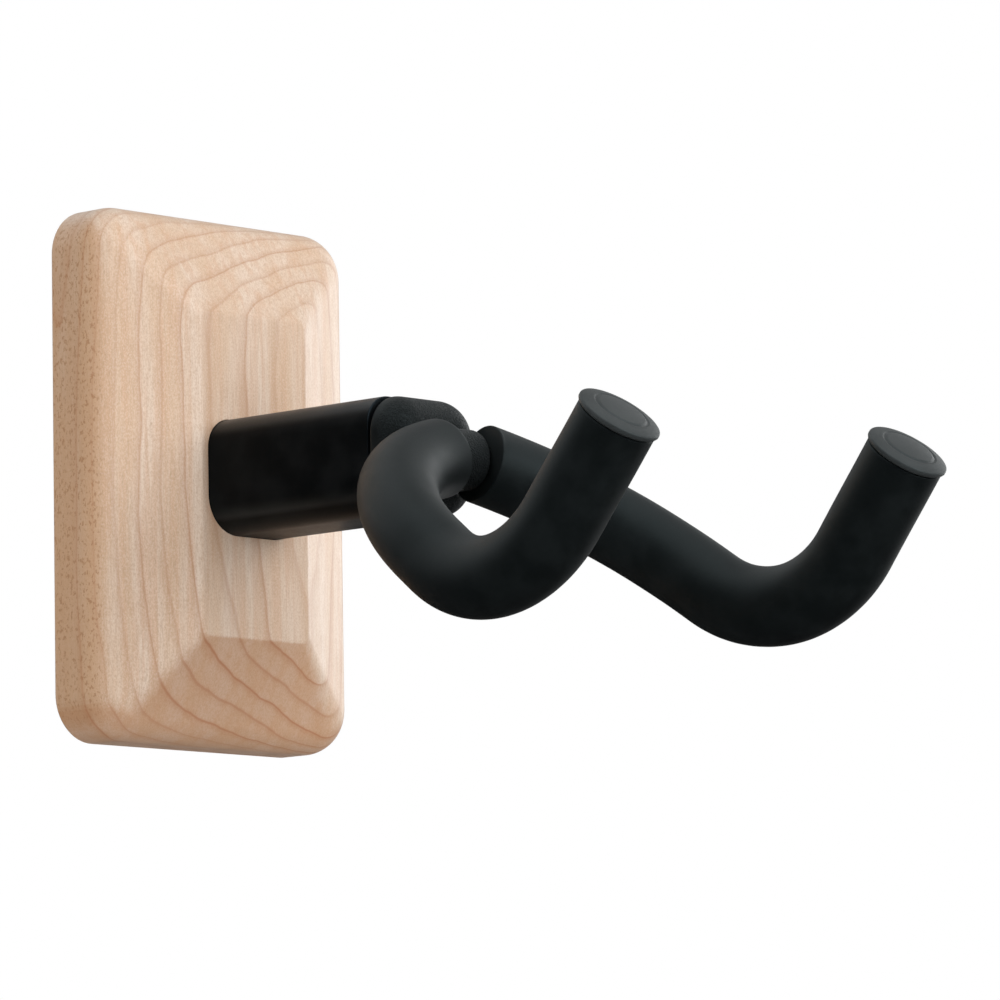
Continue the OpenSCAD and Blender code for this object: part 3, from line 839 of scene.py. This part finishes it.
camera.matrix_world = Matrix.Translation(-ahead * DISTANCE - right * SHIFT_X - up * SHIFT_Y) @ turn
bpy.context.scene.camera = camera

# ---------------------------------------------------------------- studio
FLOOR_Z = -0.34
WORLD_AMBIENT = 0.035
# direction, where the lobe starts and ends as a cosine, radiance
WORLD_LOBES = [
    ((1.0, 0.15, 0.30), 0.55, 0.98, 0.52),
    ((-0.10, 0.74, 0.66), 0.70, 0.96, 0.70),
]


def floor():
    """A pale floor that fades to white, to the camera only, away from the object."""
    n = Nodes("floor")
    place = n.place()
    cloud = n.noise(n.scaled(place, (0.004,) * 3), 1.0, 3.0)
    shade = n.mix(n.ramp(cloud, [(0.3, 0.0), (0.7, 1.0)]), (0.80, 0.80, 0.80), (0.84, 0.84, 0.84))
    whitening_reach = 2.5 / MM
    path = n.tree.nodes.new("ShaderNodeLightPath")
    apart = n.tree.nodes.new("ShaderNodeVectorMath")
    apart.operation = "LENGTH"
    n.tree.links.new(place, apart.inputs[0])
    far = n.ramp(n.math("DIVIDE", apart.outputs["Value"], whitening_reach), [(0.15, 0.0), (0.75, 1.0)])
    white = n.math("MULTIPLY", path.outputs["Is Camera Ray"], n.math("MULTIPLY_ADD", far, 0.7, 0.3))
    n.out(Base_Color=shade, Roughness=0.6, Emission_Color=(1, 1, 1, 1), Emission_Strength=white)
    size = 6.0 / MM
    obj = new_object("floor", [
        (-size, -size, FLOOR_Z / MM), (size, -size, FLOOR_Z / MM),
        (size, size, FLOOR_Z / MM), (-size, size, FLOOR_Z / MM),
    ], [(0, 1, 2, 3)], smooth=False)
    obj.data.materials.append(n.mat)
    obj.visible_glossy = False


def softbox(name, place, target, size, watts, mirrored=True):
    """A rectangular lamp; one that isn't mirrored only lights, and shows in no surface."""
    data = bpy.data.lights.new(name, "AREA")
    data.shape = "RECTANGLE"
    data.size, data.size_y = size
    data.energy = watts
    obj = bpy.data.objects.new(name, data)
    bpy.context.scene.collection.objects.link(obj)
    obj.location = place
    obj.visible_glossy = mirrored
    obj.visible_camera = False
    obj.rotation_euler = (Vector(target) - Vector(place)).to_track_quat("-Z", "Y").to_euler()
    return obj


def studio_world():
    """White to the camera; to the surfaces, a dark room with broad white lobes."""
    world = bpy.data.worlds.new("studio")
    bpy.context.scene.world = world
    world.use_nodes = True
    tree = world.node_tree
    background = tree.nodes["Background"]
    coords = tree.nodes.new("ShaderNodeTexCoord")
    glow = None
    for toward, low, high, strength in WORLD_LOBES:
        dot = tree.nodes.new("ShaderNodeVectorMath")
        dot.operation = "DOT_PRODUCT"
        dot.inputs[1].default_value = Vector(toward).normalized()
        tree.links.new(coords.outputs["Generated"], dot.inputs[0])
        spread = tree.nodes.new("ShaderNodeMapRange")
        spread.interpolation_type = "SMOOTHSTEP"
        for key, value in (("From Min", low), ("From Max", high), ("To Min", 0.0), ("To Max", strength)):
            spread.inputs[key].default_value = value
        tree.links.new(dot.outputs["Value"], spread.inputs["Value"])
        add = tree.nodes.new("ShaderNodeMath")
        add.inputs[1].default_value = WORLD_AMBIENT
        tree.links.new(spread.outputs["Result"], add.inputs[0])
        if glow is not None:
            tree.links.new(glow, add.inputs[1])
        glow = add.outputs[0]
    path = tree.nodes.new("ShaderNodeLightPath")
    seen = tree.nodes.new("ShaderNodeMath")
    seen.operation = "MAXIMUM"
    tree.links.new(path.outputs["Is Camera Ray"], seen.inputs[0])
    tree.links.new(path.outputs["Is Transmission Ray"], seen.inputs[1])
    mix = tree.nodes.new("ShaderNodeMix")
    tree.links.new(seen.outputs[0], mix.inputs["Factor"])
    tree.links.new(glow, mix.inputs["A"])
    mix.inputs["B"].default_value = 1.0
    background.inputs["Color"].default_value = (1, 1, 1, 1)
    tree.links.new(mix.outputs["Result"], background.inputs["Strength"])


floor()
studio_world()
softbox("top", (-0.1, -0.55, 0.95), (0, -0.15, 0), (2.0, 1.4), 7.6)
softbox("right", (1.6, 0.10, 0.40), (0, -0.05, 0), (0.7, 0.9), 3.7)
softbox("front", (0.25, -1.5, 0.45), (0, -0.05, 0), (0.9, 0.7), 4.8)
softbox("fill_left", (-1.7, -0.75, 0.4), (0, -0.05, 0), (1.0, 1.0), 14, mirrored=False)
softbox("fill_right", (0.9, -1.5, 0.5), (0, -0.05, 0), (1.0, 1.0), 12, mirrored=False)
bpy.context.scene.view_settings.view_transform = "Standard"
